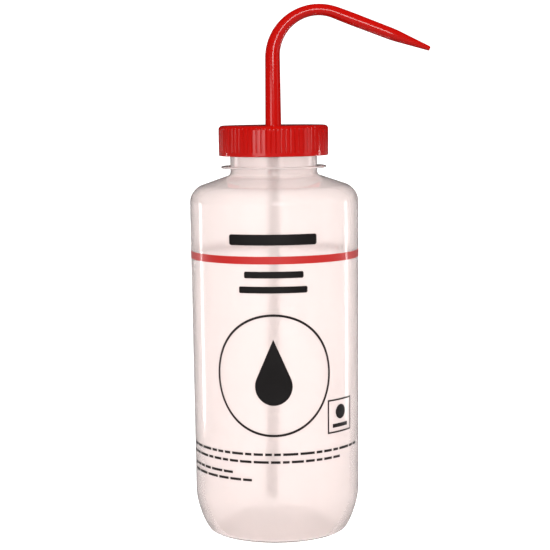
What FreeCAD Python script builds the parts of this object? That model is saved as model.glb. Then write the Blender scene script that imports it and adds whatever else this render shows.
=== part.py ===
"""Laboratory wash bottle: squeeze bottle, screw cap, swivelling spout, seal ring and dip tube.

Millimetres, +Z up. The origin is the centre of the ring that the bottle stands on, the bottle's
axis is Z, and the spout's arm points along +X.
"""
import FreeCAD, Part
import math
import os
import Sketcher

V = FreeCAD.Vector

# Driving dimensions. Each becomes a cell of the sheet, and every feature below is bound to it.
DIMENSIONS = {
    # squeeze bottle: blow-moulded, with a slight taper from the shoulder down to the heel
    "wall_thick": 1.3,
    "push_up_radius": 22.0,
    "push_up_rise": 4.5,
    "push_up_corner": 6.0,
    "stand_inner_radius": 31.0,
    "stand_radius": 36.1,
    "stand_corner": 3.0,
    "heel_break_rise": 10.7,
    "heel_corner": 36.0,
    "body_radius": 43.35,
    "shoulder_radius": 44.4,
    "shoulder_rise": 181.5,
    "shoulder_corner": 9.5,
    "neck_radius": 22.9,
    "neck_root_rise": 188.9,
    "neck_corner": 2.0,
    "rim_rise": 210.3,
    "collar_radius": 27.7,
    "collar_rise": 192.4,
    "collar_thick": 1.1,
    "collar_corner": 0.45,
    # screw thread shared by the neck and the cap
    "thread_pitch": 4.2,
    "thread_turns": 1.25,
    "thread_rise": 202.9,
    "thread_root_width": 2.3,
    "thread_crest_width": 1.1,
    "neck_crest_radius": 24.9,
    "cap_crest_radius": 23.4,
    # screw cap
    "cap_radius": 28.8,
    "cap_base": 198.9,
    "cap_top": 214.7,
    "cap_roof": 1.85,
    "cap_bore_radius": 25.6,
    "cap_edge": 2.0,
    "cap_lip": 0.4,
    "cap_band": 2.2,
    "rib_count": 72,
    "groove_depth": 0.4,
    "groove_floor_width": 0.35,
    "groove_mouth_width": 0.85,
    "stem_hole_radius": 4.3,
    # seal ring and spout plate, stacked between the bottle's rim and the cap's roof
    "running_gap": 0.05,
    "seal_thick": 1.0,
    "seal_inner_radius": 20.6,
    "plate_radius": 23.2,
    "plate_thick": 1.4,
    # spout: stem, bend, arm and tip
    "stem_radius": 4.2,
    "stem_top_radius": 3.88,
    "stem_top": 250.1,
    "bend_radius": 24.2,
    "bend_sweep": 111.3,
    "bend_early_radius": 3.5,
    "bend_early_turn": 32.0,
    "bend_top_radius": 3.03,
    "bend_end_radius": 3.2,
    "arm_swell_radius": 3.35,
    "arm_swell_at": 8.0,
    "arm_swell_corner": 60.0,
    "arm_length": 32.6,
    "arm_end_radius": 3.17,
    "tip_length": 20.2,
    "tip_radius": 1.2,
    "tip_corner": 0.4,
    "bore_radius": 2.0,
    "jet_radius": 0.7,
    "jet_taper": 3.0,
    "socket_radius": 5.2,
    "socket_depth": 12.0,
    "socket_stop": 1.0,
    # dip tube, cut from coiled stock and so very slightly curved
    "tube_radius": 3.0,
    "tube_bore_radius": 2.0,
    "tube_foot": 15.5,
    "tube_curve_radius": 6000.0,
    "tube_fit": 0.04,
}

# Heights and places that follow from the driving dimensions.
SEAL_BASE = "(params.rim_rise + params.running_gap)"
PLATE_BASE = f"({SEAL_BASE} + params.seal_thick + params.running_gap)"
PLATE_TOP = f"({PLATE_BASE} + params.plate_thick)"
CAP_CEILING = "(params.cap_top - params.cap_roof)"
SOCKET_STOP = f"({PLATE_BASE} - params.socket_stop)"
SOCKET_BORE = "(params.tube_radius + params.tube_fit)"
ARM_X = "(params.bend_radius * (1 - cos(params.bend_sweep)))"
ARM_Z = "(params.stem_top + params.bend_radius * sin(params.bend_sweep))"
ARM_TIP = "(params.arm_length + params.tip_length)"

doc = FreeCAD.newDocument("wash_bottle")
sheet = doc.addObject("Spreadsheet::Sheet", "params")
for row, (alias, size) in enumerate(DIMENSIONS.items(), start=1):
    sheet.set(f"A{row}", alias)
    sheet.set(f"B{row}", str(size))
    sheet.setAlias(f"B{row}", alias)
doc.recompute()


def value(expression):
    """The number that an expression over the sheet's cells gives now."""
    return float(sheet.evalExpression(expression))


def new_body(label):
    body = doc.addObject("PartDesign::Body", label)
    body.Label = label
    return body


def origin_part(body, role):
    """One of the body's own origin planes or axes, such as XZ_Plane or Z_Axis."""
    return next(item for item in body.Origin.OriginFeatures if item.Role == role)


def new_sketch(body, name, plane="XZ_Plane", rise="0"):
    """A sketch on one of the body's origin planes, raised along that plane's normal."""
    sketch = body.newObject("Sketcher::SketchObject", name)
    sketch.AttachmentSupport = [(origin_part(body, plane), "")]
    sketch.MapMode = "FlatFace"
    sketch.setExpression("AttachmentOffset.Base.z", rise)
    return sketch


def dimension(sketch, kind, *where, size):
    """Add one driving constraint, bound to an expression."""
    index = sketch.addConstraint(Sketcher.Constraint(kind, *where, value(size)))
    sketch.setExpression(f"Constraints[{index}]", size)


def fix_point(sketch, geometry, point, x, y):
    """Dimension one point from the sketch's origin, or lay it on an axis where x or y is 0."""
    for kind, size, axis in (("DistanceX", x, -2), ("DistanceY", y, -1)):
        if size == "0":
            sketch.addConstraint(Sketcher.Constraint("PointOnObject", geometry, point, axis))
        else:
            dimension(sketch, kind, -1, 1, geometry, point, size=size)


def corner_ends(before, corner, after, radius):
    """Where an arc of this radius leaves and meets the two sides of a corner, and its centre."""
    back = (before - corner).normalize()
    ahead = (after - corner).normalize()
    half = back.getAngle(ahead) / 2
    reach = radius / math.tan(half)
    centre = corner + (back + ahead).normalize() * (radius / math.sin(half))
    return corner + back * reach, corner + ahead * reach, centre


def outline(sketch, corners):
    """Draw a closed outline through corners (x, y), or (x, y, radius) where the corner is round.

    Every size is an expression. A round corner is an arc tangent to both of its sides, and a
    construction point marks where the sides would meet.
    """
    count = len(corners)
    points = [V(value(corner[0]), value(corner[1]), 0) for corner in corners]
    arrive, leave, arcs = list(points), list(points), {}
    for i, corner in enumerate(corners):
        if len(corner) == 3:
            radius = value(corner[2])
            arrive[i], leave[i], arcs[i] = corner_ends(
                points[i - 1], points[i], points[(i + 1) % count], radius,
            )
    sides = [
        sketch.addGeometry(Part.LineSegment(leave[i], arrive[(i + 1) % count]), False)
        for i in range(count)
    ]
    for i, corner in enumerate(corners):
        before, after = sides[i - 1], sides[i]
        if i not in arcs:
            sketch.addConstraint(Sketcher.Constraint("Coincident", before, 2, after, 1))
            fix_point(sketch, after, 1, corner[0], corner[1])
            continue
        ring = Part.Circle(arcs[i], V(0, 0, 1), value(corner[2]))
        turn = (points[i] - points[i - 1]).cross(points[(i + 1) % count] - points[i]).z
        first, last = (arrive[i], leave[i]) if turn > 0 else (leave[i], arrive[i])
        bend = Part.ArcOfCircle(ring, ring.parameter(first), ring.parameter(last))
        arc = sketch.addGeometry(bend, False)
        first_end, last_end = (1, 2) if turn > 0 else (2, 1)
        sketch.addConstraint(Sketcher.Constraint("Tangent", before, 2, arc, first_end))
        sketch.addConstraint(Sketcher.Constraint("Tangent", arc, last_end, after, 1))
        dimension(sketch, "Radius", arc, size=corner[2])
        mark = sketch.addGeometry(Part.Point(points[i]), True)
        for side in (before, after):
            sketch.addConstraint(Sketcher.Constraint("PointOnObject", mark, 1, side))
        fix_point(sketch, mark, 1, corner[0], corner[1])


def circle(sketch, radius):
    """Draw one circle about the sketch's own origin."""
    ring = sketch.addGeometry(Part.Circle(V(0, 0, 0), V(0, 0, 1), value(radius)), False)
    sketch.addConstraint(Sketcher.Constraint("Coincident", ring, 3, -1, 1))
    dimension(sketch, "Radius", ring, size=radius)


def revolve(body, name, sketch, axis="V_Axis"):
    """Turn a sketch right round one of its own axes."""
    turned = body.newObject("PartDesign::Revolution", name)
    turned.Profile = sketch
    turned.ReferenceAxis = (sketch, [axis])
    turned.Angle = 360
    doc.recompute()
    return turned


def thread(body, name, root, crest, rise):
    """Add a right-hand trapezoidal thread ridge between a root radius and a crest radius."""
    sketch = new_sketch(body, f"{name}_section")
    half_root = "params.thread_root_width / 2"
    half_crest = "params.thread_crest_width / 2"
    outline(sketch, [
        (root, f"{rise} - {half_root}"),
        (crest, f"{rise} - {half_crest}"),
        (crest, f"{rise} + {half_crest}"),
        (root, f"{rise} + {half_root}"),
    ])
    ridge = body.newObject("PartDesign::AdditiveHelix", name)
    ridge.Profile = sketch
    ridge.ReferenceAxis = (sketch, ["V_Axis"])
    ridge.Mode = "pitch-turns-angle"
    ridge.setExpression("Pitch", "params.thread_pitch")
    ridge.setExpression("Turns", "params.thread_turns")
    doc.recompute()


def make_bottle():
    """Hollow squeeze bottle: pushed-up base, curved heel, sloping shoulder, threaded neck, collar."""
    body = new_body("bottle")
    sketch = new_sketch(body, "bottle_outline")
    outline(sketch, [
        ("0", "params.push_up_rise"),
        ("params.push_up_radius", "params.push_up_rise", "params.push_up_corner"),
        ("params.stand_inner_radius", "0", "params.stand_corner"),
        ("params.stand_radius", "0", "params.stand_corner"),
        ("params.body_radius", "params.heel_break_rise", "params.heel_corner"),
        ("params.shoulder_radius", "params.shoulder_rise", "params.shoulder_corner"),
        ("params.neck_radius", "params.neck_root_rise", "params.neck_corner"),
        ("params.neck_radius", "params.rim_rise"),
        ("0", "params.rim_rise"),
    ])
    blank = revolve(body, "bottle_blank", sketch)
    mouth = next(
        f"Face{number}" for number, face in enumerate(blank.Shape.Faces, start=1)
        if abs(face.CenterOfMass.z - value("params.rim_rise")) < 0.01
    )
    hollow = body.newObject("PartDesign::Thickness", "hollow")
    hollow.Base = (blank, [mouth])
    hollow.Mode = "Skin"
    hollow.Join = "Intersection"
    hollow.Reversed = True
    hollow.setExpression("Value", "params.wall_thick")
    doc.recompute()
    sunk = "params.neck_radius - params.wall_thick / 2"
    ring = new_sketch(body, "collar_section")
    outline(ring, [
        (sunk, "params.collar_rise"),
        ("params.collar_radius", "params.collar_rise", "params.collar_corner"),
        ("params.collar_radius", "params.collar_rise + params.collar_thick", "params.collar_corner"),
        (sunk, "params.collar_rise + params.collar_thick"),
    ])
    revolve(body, "collar", ring)
    thread(body, "neck_thread", sunk, "params.neck_crest_radius", "params.thread_rise")


def make_screw_cap():
    """Ribbed cap with a hole for the stem and an internal thread half a pitch below the neck's."""
    body = new_body("screw_cap")
    sketch = new_sketch(body, "cap_outline")
    outline(sketch, [
        ("params.stem_hole_radius", "params.cap_top"),
        ("params.stem_hole_radius", CAP_CEILING),
        ("params.cap_bore_radius", CAP_CEILING, "params.cap_lip"),
        ("params.cap_bore_radius", "params.cap_base", "params.cap_lip"),
        ("params.cap_radius", "params.cap_base", "params.cap_lip"),
        ("params.cap_radius", "params.cap_top", "params.cap_edge"),
    ])
    revolve(body, "cap_blank", sketch)
    thread(
        body, "cap_thread", "params.cap_bore_radius + params.cap_lip", "params.cap_crest_radius",
        "params.thread_rise - params.thread_pitch / 2",
    )
    floor = new_sketch(body, "groove_section", "XY_Plane", "params.cap_base + params.cap_band")
    bottom = "params.cap_radius - params.groove_depth"
    outline(floor, [
        (bottom, "-params.groove_floor_width / 2"),
        ("params.cap_radius", "-params.groove_mouth_width / 2"),
        ("params.cap_radius + params.groove_depth", "-params.groove_mouth_width / 2"),
        ("params.cap_radius + params.groove_depth", "params.groove_mouth_width / 2"),
        ("params.cap_radius", "params.groove_mouth_width / 2"),
        (bottom, "params.groove_floor_width / 2"),
    ])
    groove = body.newObject("PartDesign::Pocket", "groove")
    groove.Profile = floor
    groove.Reversed = True
    groove.setExpression("Length", "params.cap_top - params.cap_base")
    doc.recompute()
    ribs = body.newObject("PartDesign::PolarPattern", "ribs")
    ribs.Originals = [groove]
    ribs.Axis = (origin_part(body, "Z_Axis"), [""])
    ribs.Angle = 360
    ribs.setExpression("Occurrences", "params.rib_count")
    body.Tip = ribs
    doc.recompute()


def make_seal_ring():
    """Flat ring between the bottle's rim and the spout's plate."""
    body = new_body("seal_ring")
    sketch = new_sketch(body, "seal_section")
    outline(sketch, [
        ("params.seal_inner_radius", SEAL_BASE),
        ("params.plate_radius", SEAL_BASE),
        ("params.plate_radius", f"{SEAL_BASE} + params.seal_thick"),
        ("params.seal_inner_radius", f"{SEAL_BASE} + params.seal_thick"),
    ])
    revolve(body, "seal_turned", sketch)


def bend_station(body, route, name, turn, radius):
    """A round section square to the bend, where the spout has turned by this angle."""
    sketch = body.newObject("Sketcher::SketchObject", name)
    sketch.AttachmentSupport = [(route, "Edge1")]
    sketch.MapMode = "NormalToEdge"
    sketch.setExpression("MapPathParameter", f"1 - {turn} / params.bend_sweep")
    circle(sketch, radius)
    return sketch


def make_spout():
    """Plate, tube socket and tapered stem in one turning, then the bend, the arm and its tip."""
    body = new_body("spout")
    stem = new_sketch(body, "stem_outline")
    outline(stem, [
        ("params.bore_radius", "params.stem_top"),
        ("params.bore_radius", SOCKET_STOP),
        (SOCKET_BORE, SOCKET_STOP),
        (SOCKET_BORE, f"{PLATE_BASE} - params.socket_depth"),
        ("params.socket_radius", f"{PLATE_BASE} - params.socket_depth"),
        ("params.socket_radius", PLATE_BASE),
        ("params.plate_radius", PLATE_BASE),
        ("params.plate_radius", PLATE_TOP),
        ("params.stem_radius", PLATE_TOP),
        ("params.stem_radius", "params.cap_top"),
        ("params.stem_top_radius", "params.stem_top"),
    ])
    revolve(body, "stem", stem)

    route = new_sketch(body, "bend_route")
    top = value("params.stem_top")
    radius = value("params.bend_radius")
    sweep = math.radians(value("params.bend_sweep"))
    ring = Part.Circle(V(radius, top, 0), V(0, 0, 1), radius)
    arc = route.addGeometry(Part.ArcOfCircle(ring, math.pi - sweep, math.pi), False)
    fix_point(route, arc, 2, "0", "params.stem_top")
    fix_point(route, arc, 3, "params.bend_radius", "params.stem_top")
    dimension(route, "DistanceX", -1, 1, arc, 1, size=ARM_X)
    doc.recompute()
    bend = body.newObject("PartDesign::AdditivePipe", "bend")
    bend.Profile = bend_station(body, route, "bend_end", "params.bend_sweep", "params.bend_end_radius")
    bend.Spine = (route, ["Edge1"])
    bend.Transformation = "Multisection"
    bend.Sections = [
        bend_station(body, route, "bend_top", "90", "params.bend_top_radius"),
        bend_station(body, route, "bend_early", "params.bend_early_turn", "params.bend_early_radius"),
        bend_station(body, route, "bend_start", "0", "params.stem_top_radius"),
    ]
    doc.recompute()
    bore = body.newObject("PartDesign::SubtractivePipe", "bend_bore")
    bore.Profile = bend_station(body, route, "bore_end", "params.bend_sweep", "params.bore_radius")
    bore.Spine = (route, ["Edge1"])
    doc.recompute()

    arm = new_sketch(body, "arm_outline")
    arm.setExpression("AttachmentOffset.Base.x", ARM_X)
    arm.setExpression("AttachmentOffset.Base.y", ARM_Z)
    arm.setExpression("AttachmentOffset.Rotation.Angle", "90 - params.bend_sweep")
    outline(arm, [
        ("0", "params.bore_radius"),
        ("params.arm_length + params.jet_taper", "params.bore_radius"),
        (ARM_TIP, "params.jet_radius"),
        (ARM_TIP, "params.tip_radius", "params.tip_corner"),
        ("params.arm_length", "params.arm_end_radius", "params.arm_swell_corner"),
        ("params.arm_swell_at", "params.arm_swell_radius", "params.arm_swell_corner"),
        ("0", "params.bend_end_radius"),
    ])
    revolve(body, "arm", arm, "H_Axis")


def make_dip_tube():
    """Tube from the spout's socket nearly to the base, bent with the curve of its stock."""
    body = new_body("dip_tube")
    sketch = new_sketch(body, "tube_section", "XY_Plane", SOCKET_STOP)
    circle(sketch, "params.tube_radius")
    circle(sketch, "params.tube_bore_radius")
    far = -value("params.tube_curve_radius")
    axis = sketch.addGeometry(Part.LineSegment(V(far, -1, 0), V(far, 1, 0)), True)
    sketch.addConstraint(Sketcher.Constraint("Symmetric", axis, 1, axis, 2, -1))
    dimension(sketch, "DistanceX", -1, 1, axis, 1, size="-params.tube_curve_radius")
    dimension(sketch, "DistanceY", axis, 1, axis, 2, size="2")
    tube = body.newObject("PartDesign::Revolution", "tube")
    tube.Profile = sketch
    tube.ReferenceAxis = (sketch, ["Axis0"])
    tube.setExpression("Angle", f"asin(({SOCKET_STOP} - params.tube_foot) / params.tube_curve_radius)")
    doc.recompute()


make_bottle()
make_screw_cap()
make_seal_ring()
make_spout()
make_dip_tube()
doc.recompute()

failed = [thing.Name for thing in doc.Objects if {"Invalid", "Error"} & set(thing.State)]
if failed:
    raise RuntimeError(f"features that did not build: {failed}")
bodies = doc.findObjects("PartDesign::Body")
for body in bodies:
    if body.Shape.isNull() or not body.Shape.isValid():
        raise RuntimeError(f"{body.Label} has no valid shape")

os.makedirs("parts", exist_ok=True)
for body in bodies:
    body.Shape.exportStep(f"parts/{body.Label}.step")
    box = body.Shape.optimalBoundingBox()
    print(f"{body.Label}: {body.Shape.Volume / 1000:.2f} cm3, {box.XMin:.2f}..{box.XMax:.2f}, "
          f"{box.YMin:.2f}..{box.YMax:.2f}, {box.ZMin:.2f}..{box.ZMax:.2f}")
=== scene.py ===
"""Looks for the laboratory wash bottle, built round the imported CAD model. Metres, +Z up."""

import math
import random

import bpy
from mathutils import Matrix, Vector


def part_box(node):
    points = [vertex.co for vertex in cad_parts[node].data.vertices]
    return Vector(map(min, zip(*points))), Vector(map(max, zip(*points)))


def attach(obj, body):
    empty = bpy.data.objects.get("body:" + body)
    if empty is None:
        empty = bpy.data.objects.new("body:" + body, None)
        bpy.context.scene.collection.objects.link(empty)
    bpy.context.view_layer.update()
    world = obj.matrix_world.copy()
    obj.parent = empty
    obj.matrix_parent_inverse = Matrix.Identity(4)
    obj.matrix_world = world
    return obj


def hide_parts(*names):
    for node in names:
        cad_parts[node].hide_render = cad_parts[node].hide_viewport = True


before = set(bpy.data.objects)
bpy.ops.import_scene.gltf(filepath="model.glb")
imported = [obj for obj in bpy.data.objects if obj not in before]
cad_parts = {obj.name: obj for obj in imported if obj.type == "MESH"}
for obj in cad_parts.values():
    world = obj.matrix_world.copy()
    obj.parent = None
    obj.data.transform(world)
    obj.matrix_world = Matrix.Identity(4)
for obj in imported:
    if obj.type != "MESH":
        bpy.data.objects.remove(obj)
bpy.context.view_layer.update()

MM = 0.001

# Studio -------------------------------------------------------------------------------------------
# A camera a little above the cap, an endless pale table in a white room, and soft light: a low,
# wide panel at the front left, one high in front, one at the right, and a strip behind each side.

camera_distance = 0.8498
camera_height = 0.2279
camera_pitch = math.radians(6.2)
camera_roll = math.radians(-0.66)
camera_lens = 105.6
aim_height = 0.19

camera = bpy.data.objects.new("camera", bpy.data.cameras.new("camera"))
camera.data.lens = camera_lens
camera.data.clip_end = 20
camera.location = (0, -camera_distance, camera_height)
tilt = Matrix.Rotation(math.pi / 2 - camera_pitch, 4, "X")
camera.rotation_euler = (tilt @ Matrix.Rotation(camera_roll, 4, "Z")).to_euler()
bpy.context.scene.collection.objects.link(camera)
bpy.context.scene.camera = camera
bpy.context.scene.view_settings.view_transform = "Standard"


def soft_light(name, azimuth, distance, height, width, length, watts):
    """A rectangular panel round the bottle at an azimuth from the front, aimed at the bottle."""
    panel = bpy.data.lights.new(name, "AREA")
    panel.shape = "RECTANGLE"
    panel.size, panel.size_y, panel.energy = width, length, watts
    light = bpy.data.objects.new(name, panel)
    turn = math.radians(azimuth)
    light.location = (distance * math.sin(turn), -distance * math.cos(turn), height)
    aim = Vector((0, 0, aim_height)) - light.location
    light.rotation_euler = aim.to_track_quat("-Z", "Y").to_euler()
    light.visible_camera = False
    light.visible_transmission = False
    panel.cycles.max_bounces = 1
    bpy.context.scene.collection.objects.link(light)


soft_light("front_left_panel", azimuth=-30, distance=1.0, height=0.22, width=0.45, length=0.12, watts=0.5)
soft_light("front_right_panel", azimuth=6, distance=1.1, height=0.42, width=0.30, length=0.27, watts=2.2)
soft_light("side_right_panel", azimuth=75, distance=1.0, height=0.35, width=0.3, length=0.6, watts=0.3)
soft_light("back_left_strip", azimuth=-113, distance=0.3, height=0.10, width=0.014, length=0.19, watts=0.12)
soft_light("back_right_strip", azimuth=108, distance=0.3, height=0.10, width=0.014, length=0.19, watts=0.12)


def add_math(tree, operation, first, second, clamp=False):
    """A maths node whose two inputs are each a number or another node's output."""
    node = tree.nodes.new("ShaderNodeMath")
    node.operation = operation
    node.use_clamp = clamp
    for socket, given in zip(node.inputs, (first, second)):
        if isinstance(given, (int, float)):
            socket.default_value = given
        else:
            tree.links.new(given, socket)
    return node.outputs["Value"]


def add_mix(tree, factor, first, second):
    """A blend of two numbers, each given as a number or as another node's output."""
    node = tree.nodes.new("ShaderNodeMix")
    for socket, given in zip(node.inputs[:4], (factor, None, first, second)):
        if isinstance(given, (int, float)):
            socket.default_value = given
        elif given is not None:
            tree.links.new(given, socket)
    return node.outputs["Result"]


def seen_directly(tree, path):
    """One for a ray from the camera or through clear plastic, nought after any other bounce."""
    return add_math(tree, "ADD", path.outputs["Is Camera Ray"], path.outputs["Transmission Depth"], True)


# To the camera and through the plastic the room is plain white. Matt surfaces are lit mostly from
# the front and the back, and in a mirror-like gloss the room is dim, so the panels read clearly.
white_seen = 1.4
light_all_round = 0.6
light_front_and_back = 2.8
light_in_gloss = 0.02

room = bpy.data.worlds.new("white_room")
room.use_nodes = True
bpy.context.scene.world = room
tree = room.node_tree
path = tree.nodes.new("ShaderNodeLightPath")
direction = tree.nodes.new("ShaderNodeTexCoord")
axes = tree.nodes.new("ShaderNodeSeparateXYZ")
tree.links.new(direction.outputs["Generated"], axes.inputs["Vector"])
towards = add_math(tree, "POWER", add_math(tree, "ABSOLUTE", axes.outputs["Y"], 0), 4)
matt_light = add_math(
    tree, "ADD", add_math(tree, "MULTIPLY", towards, light_front_and_back), light_all_round)
reflected = add_mix(tree, path.outputs["Is Glossy Ray"], matt_light, light_in_gloss)
strength = add_mix(tree, seen_directly(tree, path), reflected, white_seen)
walls = tree.nodes["Background"]
walls.inputs["Color"].default_value = (1, 1, 1, 1)
tree.links.new(strength, walls.inputs["Strength"])

bpy.ops.object.select_all(action="DESELECT")
bpy.ops.mesh.primitive_circle_add(vertices=64, radius=8, fill_type="NGON")
table = bpy.context.object
table.name = "table"
table_paint = bpy.data.materials.new("table_paint")
table_paint.use_nodes = True
tree = table_paint.node_tree
top = tree.nodes["Principled BSDF"]
top.inputs["Base Color"].default_value = (0.9, 0.9, 0.9, 1)
top.inputs["Roughness"].default_value = 0.9
top.inputs["Specular IOR Level"].default_value = 0.0
top.inputs["Emission Color"].default_value = (1, 1, 1, 1)
top.inputs["Emission Strength"].default_value = 0.75
dim_top = tree.nodes.new("ShaderNodeBsdfDiffuse")
dim_top.inputs["Color"].default_value = (0.25, 0.25, 0.25, 1)
path = tree.nodes.new("ShaderNodeLightPath")
choice = tree.nodes.new("ShaderNodeMixShader")
tree.links.new(seen_directly(tree, path), choice.inputs["Fac"])
tree.links.new(dim_top.outputs["BSDF"], choice.inputs[1])
tree.links.new(top.outputs["BSDF"], choice.inputs[2])
tree.links.new(choice.outputs["Shader"], tree.nodes["Material Output"].inputs["Surface"])
table.data.materials.append(table_paint)

# Squeeze bottle -----------------------------------------------------------------------------------
# Blow-moulded low-density polyethylene, natural and milky, 1.3 mm thick. The base is pushed up in
# the middle, and the neck carries a thin collar and the screw thread that the cap runs on.

around = 160
wall = 1.3 * MM
push_up = (22 * MM, 4.5 * MM)
push_up_inset = 14 * MM
foot_inside = (31 * MM, 0)
foot_outside = (36.1 * MM, 0)
heel = (43.35 * MM, 10.7 * MM)
belly = ((43.62 * MM, 55 * MM), (43.89 * MM, 99 * MM), (44.16 * MM, 143 * MM))
shoulder = (44.4 * MM, 181.5 * MM)
neck_radius = 22.9 * MM
neck_root = 188.9 * MM
collar_radius = 27.7 * MM
collar_base, collar_top = 192.4 * MM, 193.5 * MM
collar_corner = 0.4 * MM
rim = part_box("bottle")[1].z
rim_corner = 0.35 * MM
thread_pitch = 4.2 * MM
thread_turns = 1.25
thread_steps = 80
thread_start = 202.9 * MM
thread_root_width, thread_crest_width = 2.3 * MM, 1.1 * MM
neck_thread_crest = 24.9 * MM


def edit(thing):
    """Make one object active and open it for editing, with nothing selected in it."""
    bpy.ops.object.select_all(action="DESELECT")
    bpy.context.view_layer.objects.active = thing
    thing.select_set(True)
    bpy.ops.object.mode_set(mode="EDIT")
    bpy.ops.mesh.select_all(action="DESELECT")


def close_edit():
    bpy.ops.object.mode_set(mode="OBJECT")


def pick(thing, wanted, part="verts"):
    """Select the vertices, edges or faces whose every vertex is wanted. Edit mode only."""
    bpy.ops.object.mode_set(mode="OBJECT")
    mesh = thing.data
    kinds = {"verts": mesh.vertices, "edges": mesh.edges, "faces": mesh.polygons}
    for items in kinds.values():
        items.foreach_set("select", [False] * len(items))
    chosen = [wanted(vertex.co) for vertex in mesh.vertices]
    for item in kinds[part]:
        members = [item.index] if part == "verts" else item.vertices
        item.select = all(chosen[index] for index in members)
    bpy.context.tool_settings.mesh_select_mode = [kind == part for kind in kinds]
    bpy.ops.object.mode_set(mode="EDIT")


def near(value, target, slack=0.02 * MM):
    return abs(value - target) < slack


def radius_of(point):
    return math.hypot(point.x, point.y)


def start_ring(name, radius, height, vertices, fill="NOTHING"):
    """A ring about the bottle's axis, open for editing with the ring selected."""
    bpy.ops.object.select_all(action="DESELECT")
    bpy.ops.mesh.primitive_circle_add(vertices=vertices, radius=radius, fill_type=fill)
    ring = bpy.context.object
    ring.name = name
    ring.data.name = name
    bpy.ops.object.mode_set(mode="EDIT")
    bpy.context.tool_settings.mesh_select_mode = (True, False, False)
    bpy.ops.mesh.select_all(action="SELECT")
    bpy.ops.transform.translate(value=(0, 0, height))
    return ring


def turn_profile(stations):
    """Extrude the selected ring through stations of radius and height; the first is where it is."""
    for (radius, height), (next_radius, next_height) in zip(stations, stations[1:]):
        bpy.ops.mesh.extrude_region_move(
            TRANSFORM_OT_translate={"value": (0, 0, next_height - height)})
        scale = next_radius / radius
        bpy.ops.transform.resize(value=(scale, scale, 1), center_override=(0, 0, next_height))


def round_ring(thing, radius, height, reach, segments):
    """Bevel one ring of edges into an arc that starts this far to either side of it."""
    pick(thing, lambda p: near(p.z, height) and near(radius_of(p), radius), "edges")
    bpy.ops.mesh.bevel(offset=reach, segments=segments, profile=0.5, affect="EDGES")


def seal_skin():
    """Merge doubled points and turn every face outwards. Edit mode only."""
    bpy.ops.mesh.select_all(action="SELECT")
    bpy.ops.mesh.remove_doubles(threshold=0.002 * MM)
    bpy.ops.mesh.normals_make_consistent(inside=False)


def apply_modifier(thing, kind, **settings):
    modifier = thing.modifiers.new(kind.lower(), kind)
    for key, setting in settings.items():
        setattr(modifier, key, setting)
    bpy.ops.object.select_all(action="DESELECT")
    bpy.context.view_layer.objects.active = thing
    bpy.ops.object.modifier_apply(modifier=modifier.name)


def smooth(thing, degrees=35):
    bpy.ops.object.select_all(action="DESELECT")
    bpy.context.view_layer.objects.active = thing
    thing.select_set(True)
    bpy.ops.object.shade_smooth_by_angle(angle=math.radians(degrees))


def paint(thing, finish):
    thing.data.materials.clear()
    thing.data.materials.append(finish)


def add_thread(thing, root, crest, start):
    """Join a helical ridge of trapezoidal section, from a root to a crest radius, to a wall."""
    bpy.ops.object.select_all(action="DESELECT")
    bpy.ops.mesh.primitive_plane_add(size=1)
    ridge = bpy.context.object
    corners = (
        (root, -thread_root_width), (crest, -thread_crest_width),
        (root, thread_root_width), (crest, thread_crest_width),
    )
    for vertex, (radius, width) in zip(ridge.data.vertices, corners):
        vertex.co = (radius, 0, start + width / 2)
    steps = round(thread_turns * thread_steps)
    apply_modifier(
        ridge, "SCREW", axis="Z", angle=thread_turns * math.tau,
        screw_offset=thread_turns * thread_pitch, steps=steps, render_steps=steps)
    edit(ridge)
    bpy.ops.mesh.select_all(action="SELECT")
    bpy.ops.mesh.fill_holes(sides=4)
    seal_skin()
    close_edit()
    apply_modifier(thing, "BOOLEAN", operation="UNION", solver="EXACT", object=ridge)
    bpy.data.objects.remove(ridge)


bottle = start_ring("squeeze_bottle", *push_up, around, fill="NGON")
bpy.ops.mesh.inset(thickness=push_up_inset)
pick(bottle, lambda p: near(radius_of(p), push_up[0]))
turn_profile((
    push_up, foot_inside, foot_outside, heel, *belly, shoulder, (neck_radius, neck_root),
    (neck_radius, collar_base), (neck_radius, collar_top), (neck_radius, rim),
))
# Each corner of the profile, how far its arc reaches in mm, and the steps in the arc.
corners = (
    (shoulder, 6.79, 12), (heel, 10.9, 14), (foot_outside, 1.5, 5), (foot_inside, 0.7, 4),
    (push_up, 1.4, 4), ((neck_radius, neck_root), 1.41, 6),
)
for corner, reach, steps in corners:
    round_ring(bottle, *corner, reach=reach * MM, segments=steps)
seal_skin()
close_edit()
apply_modifier(bottle, "SOLIDIFY", thickness=wall, offset=-1, use_even_offset=True)
edit(bottle)
pick(bottle, lambda p: near(radius_of(p), neck_radius) and collar_base - wall < p.z < collar_top + wall,
     "faces")
bpy.ops.mesh.extrude_region_move()
scale = collar_radius / neck_radius
bpy.ops.transform.resize(value=(scale, scale, 1), center_override=(0, 0, collar_base))
for edge_height in (collar_base, collar_top):
    round_ring(bottle, collar_radius, edge_height, reach=collar_corner, segments=4)
for edge_radius in (neck_radius, neck_radius - wall):
    round_ring(bottle, edge_radius, rim, reach=rim_corner, segments=3)
close_edit()
add_thread(bottle, neck_radius - wall / 2, neck_thread_crest, thread_start)
smooth(bottle)


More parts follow.
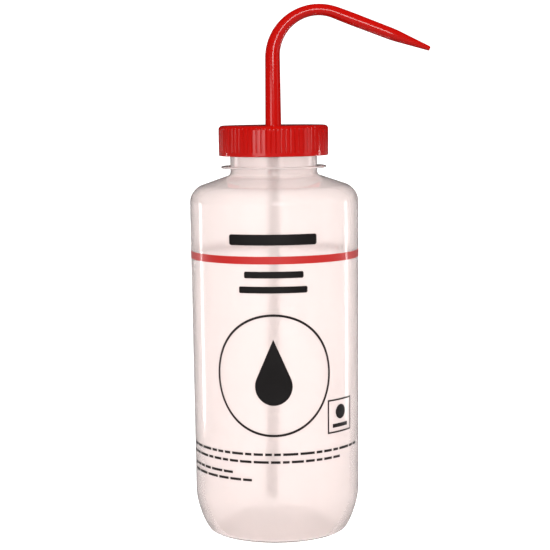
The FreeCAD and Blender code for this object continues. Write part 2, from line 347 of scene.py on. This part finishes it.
def moulded_skin():
    """Node group for the surface of moulded plastic: slow clouds of colour under a fine grain."""
    group = bpy.data.node_groups.new("moulded_skin", "ShaderNodeTree")
    sockets = (
        ("Position", "INPUT", "NodeSocketVector"), ("Colour", "INPUT", "NodeSocketColor"),
        ("Cloud", "INPUT", "NodeSocketColor"), ("Cloud Size", "INPUT", "NodeSocketFloat"),
        ("Grain Size", "INPUT", "NodeSocketFloat"), ("Gloss Low", "INPUT", "NodeSocketFloat"),
        ("Gloss High", "INPUT", "NodeSocketFloat"), ("Colour", "OUTPUT", "NodeSocketColor"),
        ("Roughness", "OUTPUT", "NodeSocketFloat"), ("Height", "OUTPUT", "NodeSocketFloat"),
    )
    for label, side, kind in sockets:
        group.interface.new_socket(label, in_out=side, socket_type=kind)
    add, join = group.nodes.new, group.links.new
    given, result = add("NodeGroupInput"), add("NodeGroupOutput")
    clouds = add("ShaderNodeTexNoise")
    clouds.inputs["Detail"].default_value = 3
    grain = add("ShaderNodeTexNoise")
    grain.inputs["Detail"].default_value = 2
    blend = add("ShaderNodeMix")
    blend.data_type = "RGBA"
    gloss = add("ShaderNodeMapRange")
    gloss.inputs["From Min"].default_value = 0.3
    gloss.inputs["From Max"].default_value = 0.7
    join(given.outputs["Position"], clouds.inputs["Vector"])
    join(given.outputs["Position"], grain.inputs["Vector"])
    join(given.outputs["Cloud Size"], clouds.inputs["Scale"])
    join(given.outputs["Grain Size"], grain.inputs["Scale"])
    join(clouds.outputs["Fac"], blend.inputs["Factor"])
    join(given.outputs["Colour"], blend.inputs["A"])
    join(given.outputs["Cloud"], blend.inputs["B"])
    join(blend.outputs["Result"], result.inputs["Colour"])
    join(clouds.outputs["Fac"], gloss.inputs["Value"])
    join(given.outputs["Gloss Low"], gloss.inputs["To Min"])
    join(given.outputs["Gloss High"], gloss.inputs["To Max"])
    join(gloss.outputs["Result"], result.inputs["Roughness"])
    join(grain.outputs["Fac"], result.inputs["Height"])
    return group


skin_group = moulded_skin()


def moulded_plastic(name, colour, cloud, gloss, cloud_size, grain_size, grain_depth=0.01 * MM,
                    stretch=(1, 1, 1), **shader_values):
    """A plastic whose colour, gloss and fine relief come from the moulded_skin group."""
    plastic = bpy.data.materials.new(name)
    plastic.use_nodes = True
    nodes, links = plastic.node_tree.nodes, plastic.node_tree.links
    shader = nodes["Principled BSDF"]
    place = nodes.new("ShaderNodeTexCoord")
    mapping = nodes.new("ShaderNodeMapping")
    mapping.inputs["Scale"].default_value = stretch
    skin = nodes.new("ShaderNodeGroup")
    skin.node_tree = skin_group
    skin.inputs["Colour"].default_value = (*colour, 1)
    skin.inputs["Cloud"].default_value = (*cloud, 1)
    skin.inputs["Cloud Size"].default_value = cloud_size
    skin.inputs["Grain Size"].default_value = grain_size
    skin.inputs["Gloss Low"].default_value, skin.inputs["Gloss High"].default_value = gloss
    bump = nodes.new("ShaderNodeBump")
    bump.inputs["Distance"].default_value = grain_depth
    links.new(place.outputs["Object"], mapping.inputs["Vector"])
    links.new(mapping.outputs["Vector"], skin.inputs["Position"])
    links.new(skin.outputs["Colour"], shader.inputs["Base Color"])
    links.new(skin.outputs["Roughness"], shader.inputs["Roughness"])
    links.new(skin.outputs["Height"], bump.inputs["Height"])
    links.new(bump.outputs["Normal"], shader.inputs["Normal"])
    for socket, setting in shader_values.items():
        shader.inputs[socket.replace("_", " ")].default_value = setting
    return plastic


milky = moulded_plastic(
    "milky_polyethylene", colour=(0.985, 0.915, 0.895), cloud=(0.98, 0.90, 0.88), gloss=(0.19, 0.26),
    stretch=(1, 1, 0.35), cloud_size=24, grain_size=700, Transmission_Weight=0.7, IOR=1.3,
    Coat_Weight=0.6, Coat_Roughness=0.12)
paint(bottle, milky)
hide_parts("bottle")
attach(bottle, "bottle")

# Red band -----------------------------------------------------------------------------------------
# A stripe of screen-printed red ink that runs right round the bottle above its middle. It is a
# thin, slightly glossy film that follows the taper of the wall.

ink_gap = 0.02 * MM
ink_thick = 0.06 * MM


def wall_radius(height):
    """The radius of the bottle's outside at a height between its heel and its shoulder."""
    share = (height - heel[1]) / (shoulder[1] - heel[1])
    return heel[0] + share * (shoulder[0] - heel[0])


band_base, band_top = 145.7 * MM, 149.6 * MM
under_base, under_top = (wall_radius(height) + ink_gap for height in (band_base, band_top))
red_band = start_ring("red_band", under_base, band_base, around)
turn_profile((
    (under_base, band_base), (under_base + ink_thick, band_base), (under_top + ink_thick, band_top),
    (under_top, band_top), (under_base, band_base),
))
seal_skin()
close_edit()
smooth(red_band)
red_ink = moulded_plastic(
    "red_ink", colour=(0.68, 0.014, 0.010), cloud=(0.60, 0.011, 0.008), gloss=(0.35, 0.45),
    cloud_size=60, grain_size=1500, grain_depth=0.004 * MM, Coat_Weight=0.6, Coat_Roughness=0.12)
paint(red_band, red_ink)
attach(red_band, "bottle")

# Black print --------------------------------------------------------------------------------------
# Screen-printed black ink in plain shapes: a heading bar with two thinner bars below the band, a
# ring round a drop, a small square mark at the right, and four lines of dashes near the base.

slice_step = 1.5 * MM
wrap_radius = 44.6 * MM
black_ink = moulded_plastic(
    "black_ink", colour=(0.008, 0.006, 0.006), cloud=(0.014, 0.011, 0.011), gloss=(0.35, 0.5),
    cloud_size=60, grain_size=1500, grain_depth=0.004 * MM, Specular_IOR_Level=0.25)


def start_print(name):
    """An empty flat print, open for editing. Its shapes lie in the XZ plane and face the front."""
    bpy.ops.object.select_all(action="DESELECT")
    bpy.ops.mesh.primitive_plane_add(size=1 * MM)
    flat = bpy.context.object
    flat.name = name
    flat.data.name = name
    bpy.ops.object.mode_set(mode="EDIT")
    bpy.ops.mesh.select_all(action="SELECT")
    bpy.ops.mesh.delete(type="VERT")
    return flat


def add_bar(left, right, base, top, corner=0.0):
    """A filled rectangle between two arc distances and two heights, with its corners rounded."""
    bpy.context.tool_settings.mesh_select_mode = (True, False, False)
    bpy.ops.mesh.select_all(action="DESELECT")
    bpy.ops.mesh.primitive_plane_add(size=1, rotation=(math.pi / 2, 0, 0))
    bpy.ops.transform.resize(value=(right - left, 1, top - base), center_override=(0, 0, 0))
    bpy.ops.transform.translate(value=((left + right) / 2, 0, (base + top) / 2))
    if corner:
        bpy.ops.mesh.bevel(offset=corner, segments=4, affect="VERTICES")


def add_disc(x, z, radius, vertices=72, fill="NGON"):
    bpy.context.tool_settings.mesh_select_mode = (True, False, False)
    bpy.ops.mesh.select_all(action="DESELECT")
    bpy.ops.mesh.primitive_circle_add(
        vertices=vertices, radius=radius, fill_type=fill, location=(x, 0, z),
        rotation=(math.pi / 2, 0, 0))


def wrap_on_bottle(flat):
    """Cut a flat print into upright strips, bend it round the bottle and give it its thickness."""
    close_edit()
    xs = [vertex.co.x for vertex in flat.data.vertices]
    left, right = min(xs), max(xs)
    edit(flat)
    for index in range(1, math.ceil((right - left) / slice_step)):
        bpy.ops.mesh.select_all(action="SELECT")
        bpy.ops.mesh.bisect(plane_co=(left + index * slice_step, 0, 0), plane_no=(1, 0, 0))
    close_edit()
    apply_modifier(
        flat, "SIMPLE_DEFORM", deform_method="BEND", deform_axis="Z",
        angle=(right - left) / wrap_radius)
    edit(flat)
    bpy.ops.mesh.select_all(action="SELECT")
    bpy.ops.transform.translate(value=(0, -wrap_radius, 0))
    close_edit()
    apply_modifier(
        flat, "SHRINKWRAP", target=bottle, wrap_method="NEAREST_SURFACEPOINT",
        wrap_mode="ABOVE_SURFACE", offset=ink_gap + ink_thick)
    apply_modifier(flat, "SOLIDIFY", thickness=ink_thick, offset=-1)
    smooth(flat)
    paint(flat, black_ink)
    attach(flat, "bottle")


# Left, right, base, top and corner of each bar, in mm.
heading_bars = (
    (-24.3, 22.2, 155.2, 160.7, 1.2), (-16.1, 14.8, 138.6, 142.0, 0.8),
    (-19.0, 16.9, 131.0, 134.4, 0.8),
)
heading = start_print("heading_bars")
for bar in heading_bars:
    add_bar(*(size * MM for size in bar))
wrap_on_bottle(heading)

ring_middle = (-1.3 * MM, 88.9 * MM)
ring_radius = 31.5 * MM
line_width = 1.2 * MM
drop_radius, drop_rise = 9.8 * MM, 23 * MM
drop_middle = (ring_middle[0], ring_middle[1] - 5.5 * MM)
drop_print = start_print("drop_in_ring")
add_disc(*ring_middle, ring_radius, vertices=120, fill="NOTHING")
bpy.ops.mesh.extrude_region_move()
scale = 1 - line_width / ring_radius
bpy.ops.transform.resize(
    value=(scale, 1, scale), center_override=(ring_middle[0], 0, ring_middle[1]))
# The drop is a disc whose top, from where lines to the point touch it, is drawn up to the point.
add_disc(*drop_middle, drop_radius)
pick(drop_print, lambda p: (
    math.hypot(p.x - drop_middle[0], p.z - drop_middle[1]) < drop_radius * 1.01
    and p.z - drop_middle[1] > drop_radius ** 2 / drop_rise))
bpy.ops.mesh.merge(type="CENTER")
pick(drop_print, lambda p: near(p.x, drop_middle[0]) and 0 < p.z - drop_middle[1] < drop_radius)
bpy.ops.transform.translate(value=(0, 0, drop_rise - drop_radius * 0.7))
wrap_on_bottle(drop_print)

mark_frame = (28.7 * MM, 47.8 * MM, 56.8 * MM, 74.5 * MM)
mark_line = 0.9 * MM
mark_dot = (38.2 * MM, 67.6 * MM, 3.8 * MM)
mark_bar = (32.2 * MM, 44.2 * MM, 59.6 * MM, 61.6 * MM)
square_mark = start_print("square_mark")
add_bar(*mark_frame)
bpy.ops.mesh.inset(thickness=mark_line)
bpy.ops.mesh.delete(type="FACE")
add_disc(*mark_dot, vertices=40)
add_bar(*mark_bar)
wrap_on_bottle(square_mark)

# Base, left and right of each line of dashes, and the sizes of the dashes, in mm.
small_lines = ((47.6, -62, 56), (43.6, -62, 37.5), (37.5, -60, -24.6), (34.1, -60, -11.1))
dash_lengths = (3.5, 5, 6.5, 8)
shortest_dash = 2
dash_gap = 1.2
dash_height = 1.3
small_print = start_print("small_print")
words = random.Random(7)
for base, left, right in small_lines:
    start = left
    while start < right - shortest_dash:
        end = min(start + words.choice(dash_lengths), right)
        add_bar(start * MM, end * MM, base * MM, (base + dash_height) * MM)
        start = end + dash_gap
wrap_on_bottle(small_print)

# Seal ring ----------------------------------------------------------------------------------------
# A flat ring of closed-cell foam under the spout's plate. It lies loose on the bottle's rim, and
# the cap presses the plate down on it.

foam = moulded_plastic(
    "seal_foam", colour=(0.86, 0.85, 0.82), cloud=(0.8, 0.79, 0.75), gloss=(0.7, 0.85),
    cloud_size=120, grain_size=2500, grain_depth=0.06 * MM)
paint(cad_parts["seal_ring"], foam)

# Dip tube -----------------------------------------------------------------------------------------
# Extruded natural polyethylene tube, pressed into the socket under the spout and cut square near
# the base. It keeps a slight bend from its coil.

tube_plastic = moulded_plastic(
    "tube_polyethylene", colour=(0.97, 0.92, 0.90), cloud=(0.94, 0.89, 0.87), gloss=(0.19, 0.26),
    stretch=(1, 1, 0.08), cloud_size=90, grain_size=1200, Transmission_Weight=0.6, IOR=1.45)
paint(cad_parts["dip_tube"], tube_plastic)

# Spout --------------------------------------------------------------------------------------------
# Injection-moulded red polyethylene: a plate held under the cap's roof, a socket for the dip tube
# below it, and a tapered stem above it that is bent while warm into the arm and its fine tip.

seal_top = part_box("seal_ring")[1].z
plate_base = seal_top + 0.05 * MM
plate_top = plate_base + 1.4 * MM
plate_radius = 23.2 * MM
plate_corner = 0.2 * MM
socket_radius, socket_bore = 5.2 * MM, 3.04 * MM
socket_base = plate_base - 12 * MM
socket_stop = plate_base - 1 * MM
cap_top = 214.7 * MM
stem_radius = 4.2 * MM
stem_top = 250.1 * MM
bend_radius = 24.2 * MM
bend_sweep = math.radians(111.3)
bend_steps = 30
bore = 2 * MM
jet = 0.7 * MM
jet_start, bore_end = 51.8 * MM, 35.6 * MM
spout_sides = 64

# The turn in degrees and the radius in mm at four places in the bend.
bend_widths = ((0, 3.88), (32, 3.5), (90, 3.03), (111.3, 3.2))
# The distance along the arm and the radius, in mm. The last four close the fine tip.
arm_sizes = (
    (4, 3.29), (8, 3.34), (12, 3.33), (29.9, 3.19), (31.3, 3.165), (32.6, 3.11), (34, 3.02),
    (35.3, 2.91), (52.35, 1.24), (52.58, 1.18), (52.73, 1.05), (52.8, 0.86), (52.8, 0.7),
)


def bend_width(turn):
    """The spout's radius where it has turned by this angle: one smooth curve through four sizes."""
    angle = math.degrees(turn)
    total = 0
    for at, size in bend_widths:
        weight = size * MM
        for other, _ in bend_widths:
            if other != at:
                weight *= (angle - other) / (at - other)
        total += weight
    return total


def on_bend(turn):
    return (bend_radius * (1 - math.cos(turn)), stem_top + bend_radius * math.sin(turn), turn)


def on_arm(along):
    x, z, lean = on_bend(bend_sweep)
    return (x + along * math.sin(lean), z + along * math.cos(lean), lean)


def follow(stations):
    """Extrude the selected ring through stations of x, z, lean from upright and radius."""
    for (x, z, lean, radius), (next_x, next_z, next_lean, next_radius) in zip(stations, stations[1:]):
        bpy.ops.mesh.extrude_region_move(
            TRANSFORM_OT_translate={"value": (next_x - x, 0, next_z - z)})
        middle = (next_x, 0, next_z)
        if next_lean != lean:
            bpy.ops.transform.rotate(
                value=lean - next_lean, orient_axis="Y", orient_type="GLOBAL", center_override=middle)
        if next_radius != radius:
            scale = next_radius / radius
            bpy.ops.transform.resize(value=(scale, scale, scale), center_override=middle)


turns = [bend_sweep * step / bend_steps for step in range(1, bend_steps + 1)]
outside = [(0, plate_top, 0, stem_radius), (0, cap_top, 0, stem_radius), (0, stem_top, 0, bend_width(0))]
outside += [(*on_bend(turn), bend_width(turn)) for turn in turns]
outside += [(*on_arm(along * MM), size * MM) for along, size in arm_sizes]
inside = [(*on_arm(jet_start), jet), (*on_arm(bore_end), bore), (*on_arm(0), bore)]
inside += [(*on_bend(turn), bore) for turn in reversed(turns[:-1])]
underside = (
    (stem_top, bore), (socket_stop, bore), (socket_stop, socket_bore), (socket_base, socket_bore),
    (socket_base, socket_radius), (plate_base, socket_radius), (plate_base, plate_radius),
    (plate_top, plate_radius), (plate_top, stem_radius),
)
inside += [(0, height, 0, size) for height, size in underside]
spout = start_ring("spout_and_plate", stem_radius, plate_top, spout_sides)
follow(outside + inside)
seal_skin()
for edge_height in (plate_base, plate_top):
    round_ring(spout, plate_radius, edge_height, reach=plate_corner, segments=2)
close_edit()
smooth(spout)
red_plastic = moulded_plastic(
    "red_polyethylene", colour=(0.55, 0.004, 0.002), cloud=(0.50, 0.0035, 0.0015), gloss=(0.09, 0.12),
    cloud_size=35, grain_size=1100, grain_depth=0.001 * MM)
paint(spout, red_plastic)
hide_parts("spout")
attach(spout, "spout")

# Screw cap ----------------------------------------------------------------------------------------
# Injection-moulded in the same red. Its skirt is ribbed all round for grip above a plain band, its
# top edge is rounded, and its roof has a hole for the stem.

cap_radius = 28.8 * MM
cap_base = 198.9 * MM
cap_roof = 1.85 * MM
cap_bore = 25.6 * MM
cap_edge = 2 * MM
band_height = 2.2 * MM
rib_count = 72
groove_depth = 0.4 * MM
groove_floor = 0.35 * MM
groove_mouth = 0.85 * MM
rib_corner = 0.08 * MM
band_chamfer = 0.1 * MM
edge_steps = 6
stem_hole = 4.3 * MM
hole_chamfer = 0.15 * MM
lip, lip_middle = 0.4 * MM, 0.12 * MM
cap_thread_crest = 23.4 * MM
thread_sunk = 0.2 * MM
skirt_top = cap_top - cap_edge
groove_base = cap_base + band_height


def set_radius(thing, wanted, new_radius):
    """Move the wanted vertices out or in, each to a radius worked out from where it is."""
    bpy.ops.object.mode_set(mode="OBJECT")
    for vertex in thing.data.vertices:
        if wanted(vertex.co):
            scale = new_radius(vertex.co) / radius_of(vertex.co)
            vertex.co.x *= scale
            vertex.co.y *= scale
    bpy.ops.object.mode_set(mode="EDIT")


def turned(point):
    """How far round the axis a point is, in radians."""
    return math.atan2(point.y, point.x) % math.tau


def from_groove(point):
    """How far a point is, along the skirt, from the middle of the nearest groove."""
    pitch = math.tau / rib_count
    return abs(turned(point) % pitch - pitch / 2) * cap_radius


pitch_width = 2 * cap_radius * math.sin(math.pi / rib_count)
cap = start_ring("ribbed_cap", cap_radius, groove_base, rib_count)
bpy.ops.mesh.bevel(offset=(pitch_width - groove_mouth) / 2, affect="VERTICES")
bpy.ops.mesh.select_all(action="SELECT")
bpy.ops.mesh.subdivide(number_cuts=1)
pick(cap, lambda p: near(from_groove(p), 0))
bpy.ops.mesh.bevel(offset=groove_floor / 2, affect="VERTICES")
set_radius(cap, lambda p: from_groove(p) < groove_floor, lambda p: cap_radius - groove_depth)
set_radius(cap, lambda p: from_groove(p) >= groove_floor, lambda p: cap_radius)
pick(cap, lambda p: from_groove(p) < groove_mouth * 0.6)
bpy.ops.mesh.bevel(offset=rib_corner, affect="VERTICES")
close_edit()
rib_outline = {round(turned(vertex.co), 4): radius_of(vertex.co) for vertex in cap.data.vertices}
edit(cap)
bpy.ops.mesh.select_all(action="SELECT")
turn_profile((
    (1, groove_base), (1, groove_base + rib_corner), (1, skirt_top - rib_corner), (1, skirt_top)))
for step in range(1, edge_steps + 1):
    angle = math.pi / 2 * step / edge_steps
    height = skirt_top + cap_edge * math.sin(angle)
    limit = cap_radius - cap_edge + cap_edge * math.cos(angle)
    height_before = skirt_top + cap_edge * math.sin(angle - math.pi / 2 / edge_steps)
    turn_profile(((1, height_before), (1, height)))
    set_radius(cap, lambda p: near(p.z, height) and radius_of(p) > limit, lambda p: limit)
ceiling = cap_top - cap_roof
turn_profile((
    (cap_radius - cap_edge, cap_top), (stem_hole + hole_chamfer, cap_top),
    (stem_hole, cap_top - hole_chamfer), (stem_hole, ceiling), (cap_bore - lip, ceiling),
    (cap_bore, ceiling - lip), (cap_bore, cap_base + lip),
    (cap_bore + lip_middle, cap_base + lip_middle), (cap_bore + lip, cap_base),
    (cap_radius - lip, cap_base), (cap_radius - lip_middle, cap_base + lip_middle),
    (cap_radius, cap_base + lip), (cap_radius, groove_base - band_chamfer),
    (cap_radius, groove_base),
))
set_radius(
    cap, lambda p: near(p.z, groove_base) and near(radius_of(p), cap_radius, 0.2 * MM)
    and from_groove(p) < groove_mouth,
    lambda p: rib_outline.get(round(turned(p), 4), cap_radius))
seal_skin()
close_edit()
add_thread(cap, cap_bore + thread_sunk, cap_thread_crest, thread_start - thread_pitch / 2)
smooth(cap, 20)
paint(cap, red_plastic)
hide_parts("screw_cap")
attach(cap, "cap")
